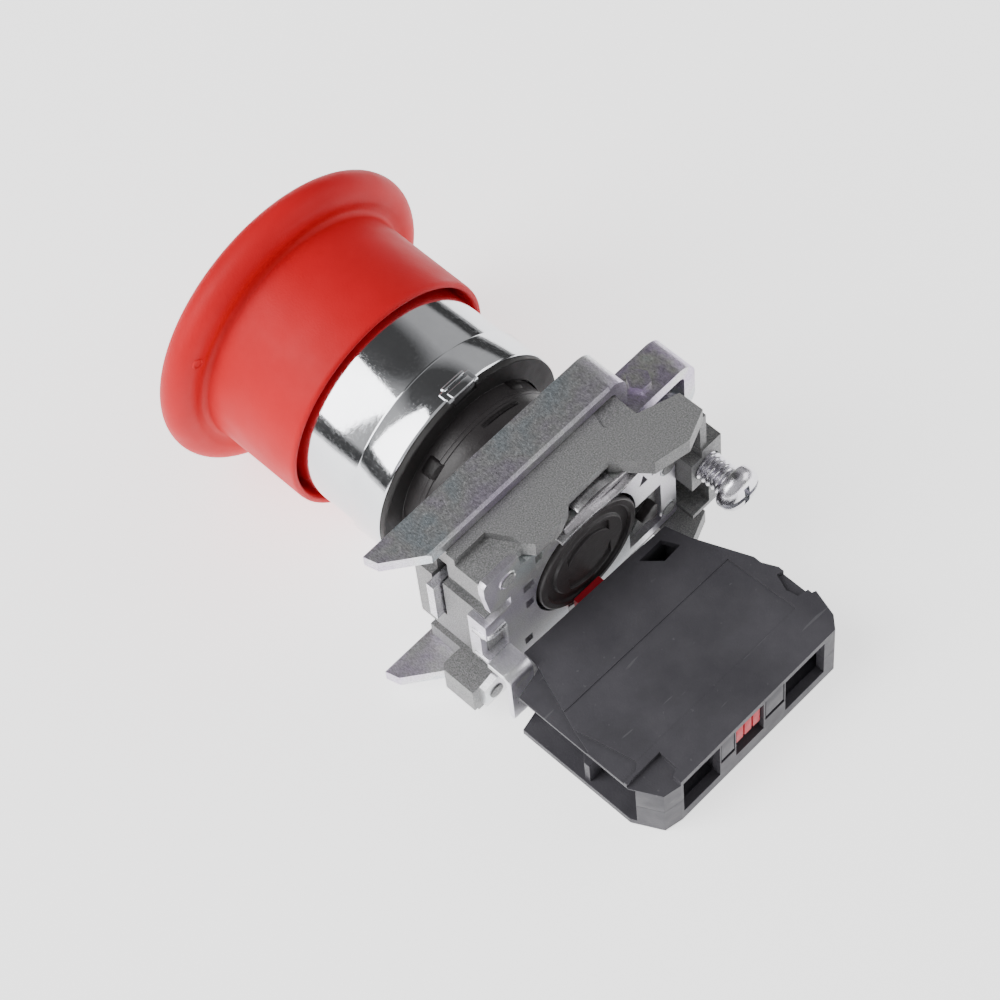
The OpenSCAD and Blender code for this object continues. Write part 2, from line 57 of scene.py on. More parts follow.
MIX_A, MIX_B, MIX_OUT = 6, 7, 2  # a Mix node's colour sockets, whose names its other types share
FLOOR_GLOW = 1.5

scene = bpy.context.scene
nodes = frame["nodes"]


def mid(lo, hi):
    return (lo + hi) / 2


# ---------------------------------------------------------------- camera
LOOK_AZ, LOOK_EL, LOOK_ROLL = 49.975, 59.472, -7.07  # degrees
LOOK_FAR = 0.40225  # metres from the camera to the point it aims at
LOOK_MIDDLE = Vector((-1.5, 4.95, 0.0)) * MM  # the middle of the part
LOOK_SHIFT = Vector((2.61, 0.57, -1.25)) * MM  # how far from there the camera aims
LENS = 126.25
SENSOR = 36


def add_camera():
    data = bpy.data.cameras.new("camera")
    data.lens = LENS
    data.sensor_width = SENSOR
    data.clip_start = 0.01
    data.clip_end = 20
    cam = bpy.data.objects.new("camera", data)
    scene.collection.objects.link(cam)
    az, el = math.radians(LOOK_AZ), math.radians(LOOK_EL)
    out = Vector((math.cos(el) * math.cos(az), math.cos(el) * math.sin(az), math.sin(el)))
    target = LOOK_MIDDLE + LOOK_SHIFT
    cam.location = target + out * LOOK_FAR
    aim = (-out).to_track_quat("-Z", "Y")
    roll = Quaternion((0, 0, 1), math.radians(LOOK_ROLL))
    cam.rotation_mode = "QUATERNION"
    cam.rotation_quaternion = aim @ roll
    scene.camera = cam


add_camera()


# ---------------------------------------------------------------- materials
class Graph:
    """A small helper around one material's node tree."""

    def __init__(self, name):
        self.mat = bpy.data.materials.new(name)
        self.mat.use_nodes = True
        self.tree = self.mat.node_tree
        self.bsdf = next(n for n in self.tree.nodes if n.type == "BSDF_PRINCIPLED")
        self.coord = self.tree.nodes.new("ShaderNodeTexCoord").outputs["Object"]

    def node(self, kind, **values):
        made = self.tree.nodes.new(kind)
        for key, value in values.items():
            if key in made.inputs:
                made.inputs[key].default_value = value
            else:
                setattr(made, key, value)
        return made

    def link(self, a, b):
        self.tree.links.new(a, b)

    def noise(self, scale, detail=3.0, rough=0.55, stretch=None):
        made = self.node("ShaderNodeTexNoise", Scale=scale, Detail=detail, Roughness=rough)
        src = self.coord
        if stretch:
            mapping = self.node("ShaderNodeMapping")
            mapping.inputs["Scale"].default_value = stretch
            self.link(src, mapping.inputs["Vector"])
            src = mapping.outputs["Vector"]
        self.link(src, made.inputs["Vector"])
        return made.outputs["Fac"]

    def ramp(self, fac, stops):
        made = self.node("ShaderNodeValToRGB")
        ramp = made.color_ramp
        while len(ramp.elements) < len(stops):
            ramp.elements.new(0.5)
        for element, (place, colour) in zip(ramp.elements, stops):
            element.position = place
            element.color = (*colour, 1)
        self.link(fac, made.inputs["Fac"])
        return made.outputs["Color"]

    def grey(self, fac, low, high, a=0.3, b=0.7):
        """A grey value that goes from low to high as fac goes from a to b."""
        return self.ramp(fac, [(a, (low,) * 3), (b, (high,) * 3)])

    def add(self, a, b, share):
        """Two heights mixed, with b's share of the sum."""
        made = self.node("ShaderNodeMix", data_type="FLOAT")
        made.inputs["Factor"].default_value = share
        self.link(a, made.inputs["A"])
        self.link(b, made.inputs["B"])
        return made.outputs["Result"]

    def bump(self, height, strength, distance):
        made = self.node("ShaderNodeBump", Strength=strength, Distance=distance)
        self.link(height, made.inputs["Height"])
        self.link(made.outputs["Normal"], self.bsdf.inputs["Normal"])

    def set(self, **values):
        """Uniform values, straight on the shader's sockets."""
        for key, value in values.items():
            self.bsdf.inputs[key.replace("_", " ")].default_value = value


def plastic(name, low, high, rough, grain, bump, patch=90, shine=0.5):
    """Moulded plastic: slow colour drift, fine grain and uneven gloss."""
    g = Graph(name)
    g.link(g.ramp(g.noise(patch, 4), [(0.3, low), (0.7, high)]), g.bsdf.inputs["Base Color"])
    g.link(g.grey(g.noise(patch * 5, 3), rough - 0.05, rough + 0.06), g.bsdf.inputs["Roughness"])
    g.bump(g.add(g.noise(grain, 2), g.noise(grain / 7, 3), 0.35), bump, GRAIN)
    g.set(Specular_IOR_Level=shine, IOR=1.5)
    return g.mat


def scuffed(name, low, high):
    """Dark moulded plastic with a fine grain, pale scuffs and short thin scratches."""
    g = Graph(name)
    base = g.ramp(g.noise(140, 4), [(0.3, low), (0.7, high)])
    clean, marked = (0, 0, 0), (0.7, 0.7, 0.7)
    scratch = g.ramp(g.noise(900, 2, 0.4, (0.16, 1.5, 1)), [(0.725, clean), (0.750, marked)])
    dust = g.ramp(g.noise(1500, 2, 0.5), [(0.72, clean), (0.78, marked)])
    marks = g.add(scratch, dust, 0.5)
    worn = g.node("ShaderNodeMix", data_type="RGBA")
    g.link(marks, worn.inputs["Factor"])
    g.link(base, worn.inputs[MIX_A])
    worn.inputs[MIX_B].default_value = (0.16, 0.16, 0.17, 1)
    g.link(worn.outputs[MIX_OUT], g.bsdf.inputs["Base Color"])
    g.link(g.grey(g.noise(600, 3), 0.42, 0.56), g.bsdf.inputs["Roughness"])
    g.bump(g.add(g.noise(4800, 2), g.noise(700, 3), 0.35), 0.35, GRAIN)
    g.set(Specular_IOR_Level=0.25)
    return g.mat


def metal(name, low, high, rough, grain, bump):
    """Bare sheet or wire: slow tone drift, fine grain and uneven gloss."""
    spread = 0.06
    g = Graph(name)
    g.link(g.ramp(g.noise(160, 5), [(0.3, low), (0.7, high)]), g.bsdf.inputs["Base Color"])
    g.link(g.grey(g.noise(grain / 3, 4), rough - spread, rough + spread), g.bsdf.inputs["Roughness"])
    g.bump(g.noise(grain, 3), bump, 0.0001)
    g.set(Metallic=1.0)
    return g.mat


def zinc_plating(name, low, rough, patch=70, tinted=0.3):
    """Passivated zinc: bright steel with faint violet, blue and olive patches and fine glints."""
    g = Graph(name)
    tint = g.ramp(g.noise(patch, 4, 0.6), [(0.34, (0.72, 0.80, 0.86)), (0.43, (0.84, 0.84, 0.85)),
                                          (0.50, (0.80, 0.74, 0.86)), (0.57, (0.70, 0.60, 0.80)),
                                          (0.64, (0.86, 0.86, 0.82)), (0.74, (0.70, 0.84, 0.86))])
    speck = g.ramp(g.noise(6200, 3, 0.8, (1, 0.4, 1)), [(0.42, (low,) * 3), (0.60, (1.05, 1.05, 1.05))])
    mixed = g.node("ShaderNodeMix", data_type="RGBA", blend_type="MULTIPLY")
    mixed.inputs["Factor"].default_value = 1.0
    plain = g.node("ShaderNodeMix", data_type="RGBA")
    plain.inputs["Factor"].default_value = tinted
    plain.inputs[MIX_A].default_value = (0.83, 0.84, 0.85, 1)
    g.link(tint, plain.inputs[MIX_B])
    g.link(plain.outputs[MIX_OUT], mixed.inputs[MIX_A])
    g.link(speck, mixed.inputs[MIX_B])
    g.link(mixed.outputs[MIX_OUT], g.bsdf.inputs["Base Color"])
    g.link(g.grey(g.noise(3000, 3, 0.8), rough - 0.07, rough + 0.08), g.bsdf.inputs["Roughness"])
    pits = g.add(g.noise(4600, 3, 0.8, (1, 0.45, 1)), g.noise(3800, 2, 0.8, (0.5, 1, 1)), 0.35)
    g.bump(pits, 0.22 + 0.33 * tinted, 0.00009)
    g.set(Metallic=1.0)
    return g.mat


def casting(name):
    """As-cast zinc with a dull, even, sandy grain."""
    g = Graph(name)
    g.link(g.ramp(g.noise(5600, 3, 0.7), [(0.36, (0.16, 0.16, 0.162)), (0.52, (0.25, 0.25, 0.252)),
                                          (0.68, (0.38, 0.38, 0.38))]), g.bsdf.inputs["Base Color"])
    g.link(g.grey(g.noise(900, 4), 0.40, 0.52), g.bsdf.inputs["Roughness"])
    g.bump(g.add(g.noise(4800, 3, 0.7), g.noise(500, 3), 0.2), 0.6, 0.0002)
    g.set(Metallic=0.5)
    return g.mat


def chrome_plating(name):
    """Bright chrome over a turned casting, with a few soft ripples and pin marks."""
    g = Graph(name)
    g.link(g.ramp(g.noise(220, 4), [(0.3, (0.74, 0.75, 0.78)), (0.7, (0.82, 0.83, 0.86))]),
           g.bsdf.inputs["Base Color"])
    g.link(g.grey(g.noise(2600, 4, 0.8), 0.05, 0.22, 0.42, 0.75), g.bsdf.inputs["Roughness"])
    g.bump(g.add(g.noise(190, 3, 0.5), g.noise(3200, 2, 0.8), 0.08), 0.25, GRAIN)
    g.set(Metallic=1.0)
    return g.mat


# The finish of each material slot
MAT = {
    "red": plastic("red_moulding", (0.58, 0.003, 0.009), (0.70, 0.007, 0.016), 0.5, 4200, 0.35, 60, 0.2),
    "stem_plastic": plastic("stem_grey", (0.04, 0.04, 0.04), (0.07, 0.07, 0.07), 0.4, 5000, 0.1),
    "spring_steel": metal("spring_wire", (0.58, 0.56, 0.57), (0.76, 0.72, 0.73), 0.24, 5000, 0.12),
    "chrome": chrome_plating("chrome_plate"),
    "rubber": plastic("gasket_rubber", (0.014, 0.013, 0.013), (0.028, 0.026, 0.026), 0.55, 6000, 0.2,
                      shine=0.3),
    "black_plastic": plastic("black_moulding", (0.024, 0.021, 0.022), (0.044, 0.040, 0.041), 0.36, 4000,
                             0.25, shine=0.35),
    "white_plastic": plastic("white_moulding", (0.6, 0.6, 0.58), (0.72, 0.72, 0.70), 0.4, 4000, 0.1),
    "zinc_casting": casting("zinc_casting"),
    "zinc_plate": zinc_plating("zinc_plating", 0.68, 0.34, 85, 0.9),
    "block_plastic": scuffed("block_moulding", (0.054, 0.052, 0.060), (0.080, 0.077, 0.087)),
    "plunger_plastic": plastic("plunger_red", (0.42, 0.012, 0.024), (0.5, 0.02, 0.035), 0.4, 5000, 0.08,
                               shine=0.2),
    "brass": metal("brass_strip", (0.55, 0.38, 0.14), (0.68, 0.48, 0.2), 0.28, 4000, 0.15),
}

# Pieces whose finish is cleaner or brighter than the fork's, in the same slots
OWN = {
    "rear_plate": zinc_plating("plated_sheet", 0.82, 0.36, 45, 0.45),
    "lock_spring": metal("leaf_steel", (0.66, 0.65, 0.67), (0.80, 0.79, 0.81), 0.27, 4000, 0.04),
    "detent_leaf": metal("leaf_blush", (0.66, 0.64, 0.67), (0.80, 0.77, 0.80), 0.27, 4000, 0.05),
    "leaf_band": metal("leaf_band_steel", (0.66, 0.65, 0.67), (0.80, 0.79, 0.81), 0.27, 4000, 0.04),
    "block_clip": zinc_plating("plated_clip", 0.9, 0.34, 110),
    "lock_ring": zinc_plating("plated_ring", 0.85, 0.30, 60),
    "prong_upper": zinc_plating("plated_prong", 0.95, 0.26, 90),
    "clamp_screw_skin": zinc_plating("plated_screw", 0.9, 0.22, 160),
}


def dress(obj, slot):
    """Gives a piece its slot and finish. The lower prong shares the upper one's."""
    obj.data.materials.clear()
    obj.data.materials.append(OWN.get(obj.name.replace("lower", "upper"), MAT[slot]))


def soften(obj, width):
    """Rounds a CAD part's edges with modifiers, which leave its own mesh as it is."""
    weld = obj.modifiers.new("weld", "WELD")
    weld.merge_threshold = 2e-6
    flat = obj.modifiers.new("flat", "DECIMATE")
    flat.decimate_type = "DISSOLVE"
    flat.angle_limit = math.radians(0.4)
    bevel = obj.modifiers.new("bevel", "BEVEL")
    bevel.width = width
    bevel.segments = 2
    bevel.limit_method = "ANGLE"
    bevel.angle_limit = math.radians(28)
    bevel.harden_normals = True
    bevel.use_clamp_overlap = True


# Edge radius in mm of the CAD pieces that stay in sight
SOFT = {"collar_body": 0.25, "clamp_fork": 0.35, "rear_plate": 0.1, "lock_ring": 0.1,
        "lock_spring": 0.05, "block_clip": 0.1, "block_cover": 0.18, "block_base": 0.18,
        "contact_plunger": 0.12, "actuator_plate": 0.12, "barrel": 0.15, "gasket": 0.1,
        "terminal_screw_a": 0.1, "terminal_screw_b": 0.1, "saddle_a": 0.1, "saddle_b": 0.1,
        "retaining_ring": 0.08}

for subpart in frame["record"]["subparts"]:
    name = subpart["node"]
    dress(nodes[name], subpart["material_slot"])
    if name in SOFT:
        soften(nodes[name], SOFT[name] * MM)


# ---------------------------------------------------------------- making pieces
def finish_mesh(name, bm, slot, body, smooth=35):
    """Turns a bmesh into a dressed piece on a body, sharp where faces meet at over smooth degrees."""
    bmesh.ops.recalc_face_normals(bm, faces=bm.faces)
    data = bpy.data.meshes.new(name)
    bm.to_mesh(data)
    bm.free()
    obj = bpy.data.objects.new(name, data)
    scene.collection.objects.link(obj)
    for polygon in data.polygons:
        polygon.use_smooth = True
    data.set_sharp_from_angle(angle=math.radians(smooth))
    dress(obj, slot)
    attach(obj, body)
    return obj


def lathe(name, outline, slot, body, steps=180, smooth=35):
    """A turned piece around Y, from [radius, y] points in mm."""
    bm = bmesh.new()
    rings = []
    for r, y in outline:
        if r < 1e-6:
            rings.append([bm.verts.new((0, y * MM, 0))])
        else:
            rings.append([bm.verts.new((r * MM * math.cos(a), y * MM, r * MM * math.sin(a)))
                          for a in (2 * math.pi * i / steps for i in range(steps))])
    pairs = list(zip(rings, rings[1:]))
    if len(rings[0]) > 1 or len(rings[-1]) > 1:
        pairs.append((rings[-1], rings[0]))
    for a, b in pairs:
        for i in range(steps):
            j = (i + 1) % steps
            corners = []
            for ring, k in ((a, i), (a, j), (b, j), (b, i)):
                v = ring[k if len(ring) > 1 else 0]
                if v not in corners:
                    corners.append(v)
            if len(corners) > 2:
                bm.faces.new(corners)
    return finish_mesh(name, bm, slot, body, smooth)


def arc(cx, cy, r, a0, a1, n):
    """n + 1 points along an arc, from a0 to a1 degrees."""
    return [(cx + r * math.cos(math.radians(a0 + (a1 - a0) * i / n)),
             cy + r * math.sin(math.radians(a0 + (a1 - a0) * i / n))) for i in range(n + 1)]


# ---------------------------------------------------------------- mushroom
def mushroom():
    """The red cap: domed face, rolled rim, skirt, and the hollow with its boss."""
    front, rim, rim_y, rim_r, dome_h, steps = -33.9, 17.7, -30.1, 2.3, 1.5, 14
    dome = [(rim * i / steps, front + dome_h * (i / steps) ** 2) for i in range(steps + 1)]
    outline = dome + arc(rim, rim_y, rim_r, -90, 112, 30) + arc(16.3, -27.35, 0.7, 270, 180, 8)
    outline += [(15.6, -14.0), (15.55, -13.65), (15.4, -13.45), (15.15, -13.4), (14.95, -13.45),
                (14.85, -13.6), (14.75, -14.2), (14.75, -29), (14.55, -29.4), (14.2, -29.6), (6.2, -29.6),
                (6.2, -21.5), (4.06, -21.5), (4.06, -31.4), (0, -31.4)]
    skin = lathe("mushroom_skin", outline, "red", "button", 240, 50)
    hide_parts("mushroom_cap")


mushroom()


def bezel():
    """The chromed bezel, in one turned shell with its step and its hollow."""
    outline = [(6.95, -20.2), (13.1, -20.2), (13.5, -20.1), (13.75, -19.8), (13.9, -19.4), (13.95, -19.0),
               (13.95, -5.95), (13.9, -5.85), (13.9, -5.7), (14.1, -5.6), (14.25, -5.5), (14.3, -5.35),
               (14.3, -1.1), (14.26, -0.93), (14.15, -0.8), (12.7, -0.8), (12.7, -3.2), (12.1, -3.2),
               (12.1, -19.1), (6.95, -19.1)]
    shell = lathe("bezel_shell", outline, "chrome", "base", 240, 30)
    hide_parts("bezel")


bezel()


def prism(name, outline, place, slot, body, bevel=0.08, segments=2):
    """A bevelled prism, in mm: place(u, v, k) puts an outline point on face 0 or face 1."""
    bm = bmesh.new()
    low, high = ([bm.verts.new([c * MM for c in place(u, v, k)]) for u, v in outline] for k in (0, 1))
    bm.faces.new(low)
    bm.faces.new(list(reversed(high)))
    count = len(outline)
    for i in range(count):
        j = (i + 1) % count
        bm.faces.new((low[i], high[i], high[j], low[j]))
    bmesh.ops.recalc_face_normals(bm, faces=bm.faces)
    bmesh.ops.bevel(bm, geom=list(bm.edges), offset=bevel * MM, segments=segments, profile=0.5,
                    affect="EDGES", clamp_overlap=True)
    return finish_mesh(name, bm, slot, body, 40)


def carve(obj, name, xs, ys, zs):
    """Cuts a box-shaped slot out of a piece, and keeps only the cut mesh."""
    bm = bmesh.new()
    corners = [[bm.verts.new((x * MM, y * MM, z * MM)) for x, z in
                ((xs[0], zs[0]), (xs[1], zs[0]), (xs[1], zs[1]), (xs[0], zs[1]))] for y in ys]
    bm.faces.new(corners[0])
    bm.faces.new(list(reversed(corners[1])))
    for i in range(4):
        j = (i + 1) % 4
        bm.faces.new((corners[0][i], corners[1][i], corners[1][j], corners[0][j]))
    bmesh.ops.recalc_face_normals(bm, faces=bm.faces)
    data = bpy.data.meshes.new(name)
    bm.to_mesh(data)
    bm.free()
    cutter = bpy.data.objects.new(name, data)
    scene.collection.objects.link(cutter)
    cut = obj.modifiers.new("cut", "BOOLEAN")
    cut.object, cut.operation, cut.solver = cutter, "DIFFERENCE", "EXACT"
    bpy.context.view_layer.update()
    made = bpy.data.meshes.new_from_object(obj.evaluated_get(bpy.context.evaluated_depsgraph_get()))
    obj.modifiers.remove(cut)
    obj.data = made
    bpy.data.objects.remove(cutter)


# ---------------------------------------------------------------- bezel's keying lug
def keying_lug():
    """The chromed lug that laps over the gasket, stepped, with a groove across its face."""
    side = [(13.3, -2.35), (14.45, -2.35), (14.75, -2.1), (14.75, -1.75), (14.5, -1.65), (14.5, -1.3),
            (14.8, -1.2), (14.8, -0.25), (14.65, -0.12), (13.3, -0.12)]
    prism("keying_lug", side, lambda z, y, k: (-2.1 + 3.3 * k, y, z), "chrome", "base", 0.07)
    wing = [(13.6, -2.0), (14.4, -2.0), (14.55, -1.8), (14.55, -0.5), (14.4, -0.15), (13.6, -0.15)]
    prism("keying_lug_wing", wing, lambda z, y, k: (-2.75 + 4.6 * k, y, z), "chrome", "base", 0.1)


keying_lug()


# ---------------------------------------------------------------- clamp screw
def threaded(name, x, z, radius, depth, pitch, y0, y1, head, slot, body, steps=40, per_turn=8):
    """A screw along Y: a helical thread, then the head's outline of [radius, y] points."""
    slope, root = 2.2, 0.45  # how steep the flanks are, and how wide the flat between them is
    rings = []
    rows = int((y1 - y0) / pitch * per_turn)
    for i in range(rows + 1):
        y = y0 + (y1 - y0) * i / rows
        fade = min(1, i / per_turn, (rows - i) / per_turn)
        ring = []
        for j in range(steps):
            phase = ((y - y0) / pitch - j / steps) % 1
            crest = max(0.0, min(1.0, slope * (1 - abs(2 * phase - 1)) - root))
            ring.append((radius - depth * (1 - crest * fade), y))
        rings.append(ring)
    for r, y in head:
        rings.append([(r, y)] * steps)
    bm = bmesh.new()
    made = []
    for ring in rings:
        made.append([bm.verts.new(((x + r * math.cos(2 * math.pi * j / steps)) * MM, y * MM,
                                   (z + r * math.sin(2 * math.pi * j / steps)) * MM))
                     for j, (r, y) in enumerate(ring)])
    for a, b in zip(made, made[1:]):
        for j in range(steps):
            k = (j + 1) % steps
            bm.faces.new((a[j], a[k], b[k], b[j]))
    bm.faces.new(made[0])
    bm.faces.new(list(reversed(made[-1])))
    return finish_mesh(name, bm, slot, body, 40)


def clamp_screw():
    """The clamping screw: threaded, with a rounded head that a slot and a cross bar cut into."""
    lo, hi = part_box("clamp_screw")
    x, z = mid(lo[0], hi[0]) / MM, mid(lo[2], hi[2]) / MM
    top = hi[1] / MM
    head = [(radius, top - deep) for radius, deep in (
        (1.5, 2.6), (1.5, 2.48), (2.6, 2.46), (2.8, 2.36), (2.88, 2.2), (2.88, 1.45), (2.8, 1.05),
        (2.5, 0.56), (2.0, 0.26), (1.3, 0.08), (0.5, 0.01))]
    screw = threaded("clamp_screw_skin", x, z, 1.92, 0.36, 0.7, lo[1] / MM, top - 2.65, head,
                     "zinc_plate", "screw")
    for name, half_x, half_z, deep in (("slot", 3.2, 0.42, 1.25), ("cross", 0.42, 1.7, 1.5)):
        carve(screw, name, (x - half_x, x + half_x), (top - deep, top + 1), (z - half_z, z + half_z))
    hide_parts("clamp_screw")


clamp_screw()


# ---------------------------------------------------------------- small details
def ring_mark(name, centre, normal, radius, width, lift, slot, body, steps=36):
    """A thin raised ring, such as a mould mark, on a face."""
    way = Vector(normal).normalized()
    u = way.orthogonal().normalized()
    v = way.cross(u)
    bm = bmesh.new()
    loops = []
    sunk = -0.1
    for r, h in ((radius - width, sunk), (radius - width * 0.6, lift), (radius - width * 0.3, lift),
                 (radius, sunk)):
        loops.append([bm.verts.new((Vector(centre) + (u * math.cos(a) + v * math.sin(a)) * r + way * h) * MM)
                      for a in (2 * math.pi * i / steps for i in range(steps))])
    loops.append(loops[0])
    for a, b in zip(loops, loops[1:]):
        for i in range(steps):
            j = (i + 1) % steps
            bm.faces.new((a[i], a[j], b[j], b[i]))
    return finish_mesh(name, bm, slot, body, 50)


def barrel_sleeve():
    """The visible neck of the barrel: a thin skin with ribs and a step towards the collar."""
    outline = [(10.95, -0.75), (11.12, -0.7), (11.15, -0.45), (11.12, -0.2), (11.02, -0.1), (11.02, 1.75),
               (11.12, 1.85), (11.14, 2.1), (11.12, 2.35), (11.02, 2.45), (11.02, 3.9), (10.98, 4.0),
               (10.98, 5.9), (10.93, 6.0)]
    lathe("barrel_sleeve", outline + [(10.9, 6.0), (10.9, -0.75)], "black_plastic", "base", 180, 40)
    # an oval bump, a raised bar and a small tab on the neck
    neck_r = 10.98
    for name, angle, y0, y1, half, high in (("barrel_bump", 51, 0.3, 2.6, 6.5, 0.32),
                                            ("barrel_bar", 104, 2.7, 3.4, 16, 0.22),
                                            ("barrel_tab", 131, -0.6, 1.3, 5.5, 0.3)):
        bm = bmesh.new()
        cols = []
        for i in range(13):
            t = i / 6 - 1
            a = math.radians(angle + half * t)
            bulge = high * math.sqrt(max(0.0, 1 - t ** 4))
            col = []
            for k in range(7):
                v = k / 3 - 1
                r = neck_r + bulge * math.sqrt(max(0.0, 1 - v ** 4))
                y = mid(y0, y1) + (y1 - y0) / 2 * v
                col.append(bm.verts.new((r * MM * math.cos(a), y * MM, r * MM * math.sin(a))))
            cols.append(col)
        for a, b in zip(cols, cols[1:]):
            for k in range(6):
                bm.faces.new((a[k], a[k + 1], b[k + 1], b[k]))
        bmesh.ops.solidify(bm, geom=list(bm.faces), thickness=0.05 * MM)
        finish_mesh(name, bm, "black_plastic", "base", 40)


def pivot_cap():
    """The small lobed black cap in the open corner of the rear plate."""
    steps, lobes, round_r, lobe_r = 36, 3, 1.25, 0.3
    turns = [2 * math.pi * i / steps for i in range(steps)]
    outline = [((round_r + lobe_r * math.cos(lobes * a)) * math.cos(a),
                (round_r + lobe_r * math.cos(lobes * a)) * math.sin(a)) for a in turns]
    prism("pivot_cap", outline, lambda u, v, k: (-10.3 + u, 17.3 + 1.2 * k, -4.3 + v), "black_plastic",
          "base", 0.22, 3)


def plunger_ribs():
    """Three raised ribs on the plunger's end, which the wiring face shows."""
    lo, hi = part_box("contact_plunger")
    x0, x1, end = lo[0] / MM, hi[0] / MM, hi[1] / MM
    step, gap = (x1 - x0) / 3, 0.12
    for i in range(3):
        a, b = x0 + step * i + gap, x0 + step * (i + 1) - gap
        prism(f"plunger_rib_{i}", [(a, -9.75), (b, -9.75), (b, -6.35), (a, -6.35)],
              lambda x, z, k: (x, end - 0.1 + 0.32 * k, z), "plunger_plastic", "plunger", 0.08)


def prongs():
    """The two hooked prongs of bent sheet at the end of the collar where the fork's tips are."""
    for name, z0, z1 in (("prong_upper", 0.95, 1.9), ("prong_lower", -4.6, -3.65)):
        outline = [(13.2, 18.12), (13.2, 18.42), (15.2, 18.42), (15.9, 18.2), (16.25, 17.6), (16.3, 15.9),
                   (16.0, 15.9), (15.95, 17.5), (15.7, 17.95), (15.1, 18.12)]
        prism(name, outline, lambda x, y, k: (x, y, z0 + (z1 - z0) * k), "zinc_plate", "base", 0.08)


def latch_coil():
    """The coiled spring between the latch pins, built as a fixed coil on a mesh of its own; the real spring
    closes up as the pins draw in.
    """
    lo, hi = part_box("latch_spring")
    centre = Vector([mid(a, b) for a, b in zip(lo, hi)])
    wire, turns, steps, sides = 0.12 * MM, 4.5, 24, 8
    coil_r = (hi[2] - lo[2]) / 2 - wire
    run = (hi[0] - lo[0]) - 2 * wire
    bm = bmesh.new()
    rings = []
    count = int(turns * steps)
    for i in range(count + 1):
        a = 2 * math.pi * i / steps
        out = Vector((0, math.cos(a), math.sin(a)))
        at = centre + Vector((run * (i / count - 0.5), 0, 0)) + out * coil_r
        rings.append([bm.verts.new(at + (out * math.cos(b) + Vector((1, 0, 0)) * math.sin(b)) * wire)
                      for b in (2 * math.pi * j / sides for j in range(sides))])
    for a, b in zip(rings, rings[1:]):
        for j in range(sides):
            k = (j + 1) % sides
            bm.faces.new((a[j], a[k], b[k], b[j]))
    bm.faces.new(rings[0])
    bm.faces.new(list(reversed(rings[-1])))
    piece = finish_mesh("latch_coil", bm, "spring_steel", "button", 60)
    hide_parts("latch_spring")
    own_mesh(piece)


def detent_leaf():
    """The broad bowed leaf between the near flange and the disc, and the band in front of it."""
    count, thick = 16, 0.3
    xs = [3.4 - 10.4 * i / count for i in range(count + 1)]
    upper = [(x, 11.0 - 0.030 * (x + 1.8) ** 2) for x in xs]
    lower = [(x, 9.15 - 0.012 * (x + 1.8) ** 2 + 0.25) for x in reversed(xs)]
    prism("detent_leaf", upper + lower, lambda x, z, k: (x, 18.35 + 0.14 * (z - 10) + thick * k, z),
          "zinc_plate", "base", 0.06)
    runs = [6.0 * i / count for i in range(count + 1)]
    bow = [(-5.0 + run, 10.75 - 0.05 * (-3.2 + run) ** 2) for run in runs]
    band = bow + [(x, z - thick) for x, z in reversed(bow)]
    prism("leaf_band", band, lambda x, z, k: (x, 15.6 + 2.7 * k, z), "zinc_plate", "base", 0.05)


def details():
    latch_coil()
    detent_leaf()
    barrel_sleeve()
    pivot_cap()
    plunger_ribs()
    prongs()
    # mould mark on the back of the mushroom's rim
    across = math.atan2(9.6, 15.2)
    reach = 18.15
    ring_mark("mould_mark", (reach * math.cos(across), -27.86, reach * math.sin(across)),
              (0.19 * math.cos(across), 0.98, 0.19 * math.sin(across)), 0.75, 0.3, 0.1, "red", "button")
    # rings rolled round the staked posts
    for i, (x, z) in enumerate(((12, 9.6), (-13.7, 1.6), (-13.5, -7.4))):
        ring_mark(f"stake_ring_{i}", (x, 18.1, z), (0, 1, 0), 1.35, 0.36, 0.09, "zinc_plate", "base")
    # plain pads beside the plunger, in the wiring face
    for name, x0, x1 in (("pad_a", -4.7, -1.75), ("pad_b", 3.6, 5.7)):
        outline = [(x0, -9.7), (x1, -9.7), (x1, -6.0), (x0, -6.0)]
        prism(name, outline, lambda x, z, k: (x, 43.45 + 0.3 * k, z), "block_plastic", "base", 0.06)


details()


# ---------------------------------------------------------------- floor and light
def floor():
    """A pale floor that the mushroom's rim and the block's end rest on."""
    rim_y, rim_z = -30.1, -20.15  # where the mushroom's rim touches it
    rise, run = 5.4, 73.9  # from there to the block's end
    half_size = 3  # metres
    bm = bmesh.new()
    bmesh.ops.create_grid(bm, x_segments=2, y_segments=2, size=half_size)
    data = bpy.data.meshes.new("floor")
    bm.to_mesh(data)
    bm.free()
    obj = bpy.data.objects.new("floor", data)
    scene.collection.objects.link(obj)
    obj.location = (0, rim_y * MM, rim_z * MM)
    obj.rotation_euler = (math.atan2(rise, run), 0, 0)
    g = Graph("floor_white")
    spread = g.node("ShaderNodeTexGradient", gradient_type="SPHERICAL")
    scaled = g.node("ShaderNodeMapping")
    scaled.inputs["Scale"].default_value = (1.6, 1.6, 1.6)
    g.link(g.coord, scaled.inputs["Vector"])
    g.link(scaled.outputs["Vector"], spread.inputs["Vector"])
    edge, full = 0.42, 0.62  # the floor dims between these, away from the part
    g.link(g.grey(spread.outputs["Fac"], 0.45, 0.95, edge, full), g.bsdf.inputs["Base Color"])
    g.link(g.grey(spread.outputs["Fac"], 0.0, 1.0, edge, full), g.bsdf.inputs["Emission Color"])
    g.set(Roughness=0.7, Emission_Strength=FLOOR_GLOW)
    obj.data.materials.append(g.mat)


floor()


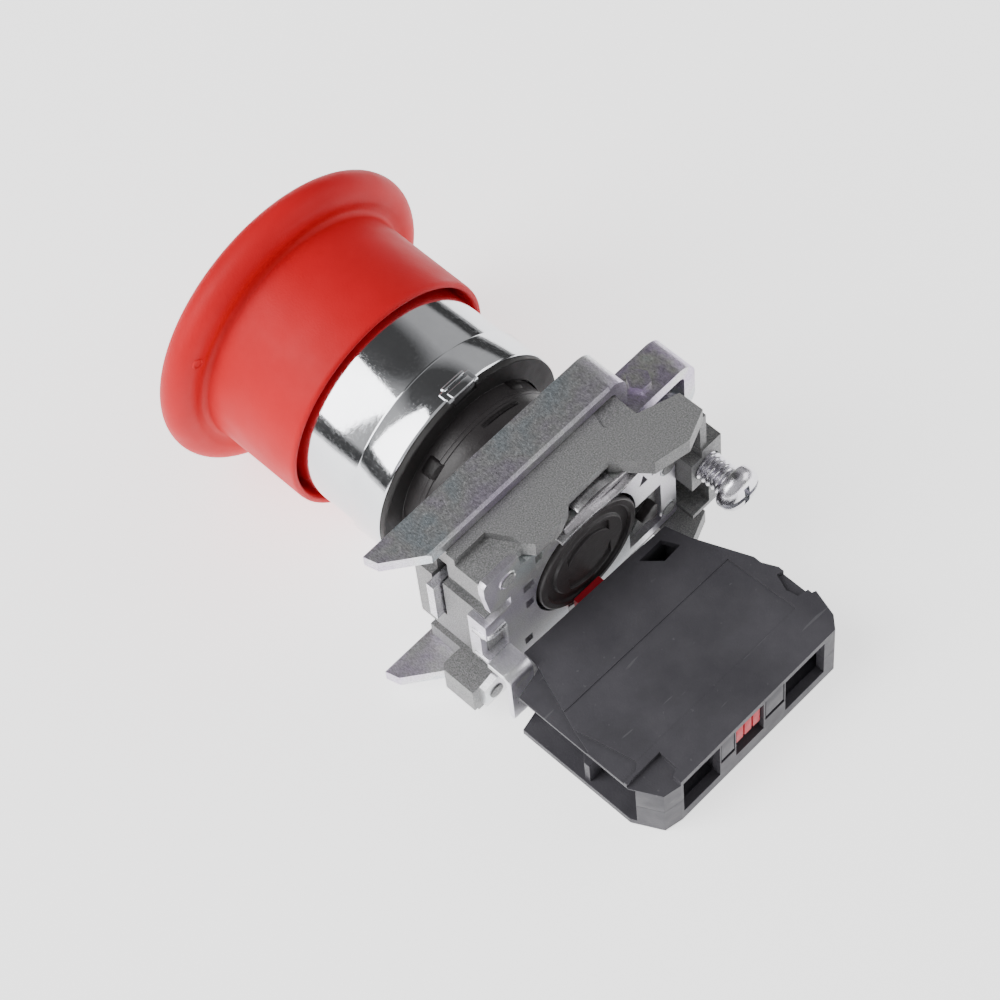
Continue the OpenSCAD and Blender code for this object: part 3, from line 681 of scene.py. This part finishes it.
def area(name, direction, far, size, power):
    """A white rectangular lamp that looks at the origin from a direction."""
    data = bpy.data.lights.new(name, "AREA")
    data.shape = "RECTANGLE"
    data.size, data.size_y = size
    data.energy = power
    obj = bpy.data.objects.new(name, data)
    scene.collection.objects.link(obj)
    way = Vector(direction).normalized()
    obj.location = way * far
    obj.rotation_mode = "QUATERNION"
    obj.rotation_quaternion = way.to_track_quat("Z", "Y")


area("key", (0.66, -0.3, 0.68), 0.8, (0.45, 0.9), 7.5)
area("back", (-0.9, 0.5, 0.55), 0.9, (0.7, 0.4), 2)


def studio():
    """A bright tent: a dark opening overhead, a dimmer -X side and a dark seam at the horizon."""
    world = bpy.data.worlds.new("studio")
    scene.world = world
    world.use_nodes = True
    tree = world.node_tree
    way = tree.nodes.new("ShaderNodeTexCoord").outputs["Generated"]

    def along(direction):
        made = tree.nodes.new("ShaderNodeVectorMath")
        made.operation = "DOT_PRODUCT"
        tree.links.new(way, made.inputs[0])
        made.inputs[1].default_value = Vector(direction).normalized()
        return made.outputs["Value"]

    def ramp(fac, stops):
        made = tree.nodes.new("ShaderNodeValToRGB")
        while len(made.color_ramp.elements) < len(stops):
            made.color_ramp.elements.new(0.5)
        for element, (place, grey) in zip(made.color_ramp.elements, stops):
            element.position = place
            element.color = (grey, grey, grey, 1)
        tree.links.new(fac, made.inputs["Fac"])
        return made.outputs["Color"]

    def times(a, b):
        made = tree.nodes.new("ShaderNodeMix")
        made.data_type, made.blend_type = "RGBA", "MULTIPLY"
        made.inputs["Factor"].default_value = 1
        tree.links.new(a, made.inputs[MIX_A])
        tree.links.new(b, made.inputs[MIX_B])
        return made.outputs[MIX_OUT]

    opening = ramp(along((-0.16, -0.38, 0.91)), [(0.80, 1.0), (0.93, 0.16)])
    side = ramp(along((1, 0, 0.2)), [(0.0, 0.75), (0.35, 1.0)])
    seam = ramp(along((0, 0, 1)), [(0.16, 0.12), (0.24, 1.0)])
    background = tree.nodes["Background"]
    tree.links.new(times(times(opening, side), seam), background.inputs["Color"])
    background.inputs["Strength"].default_value = 0.6


studio()
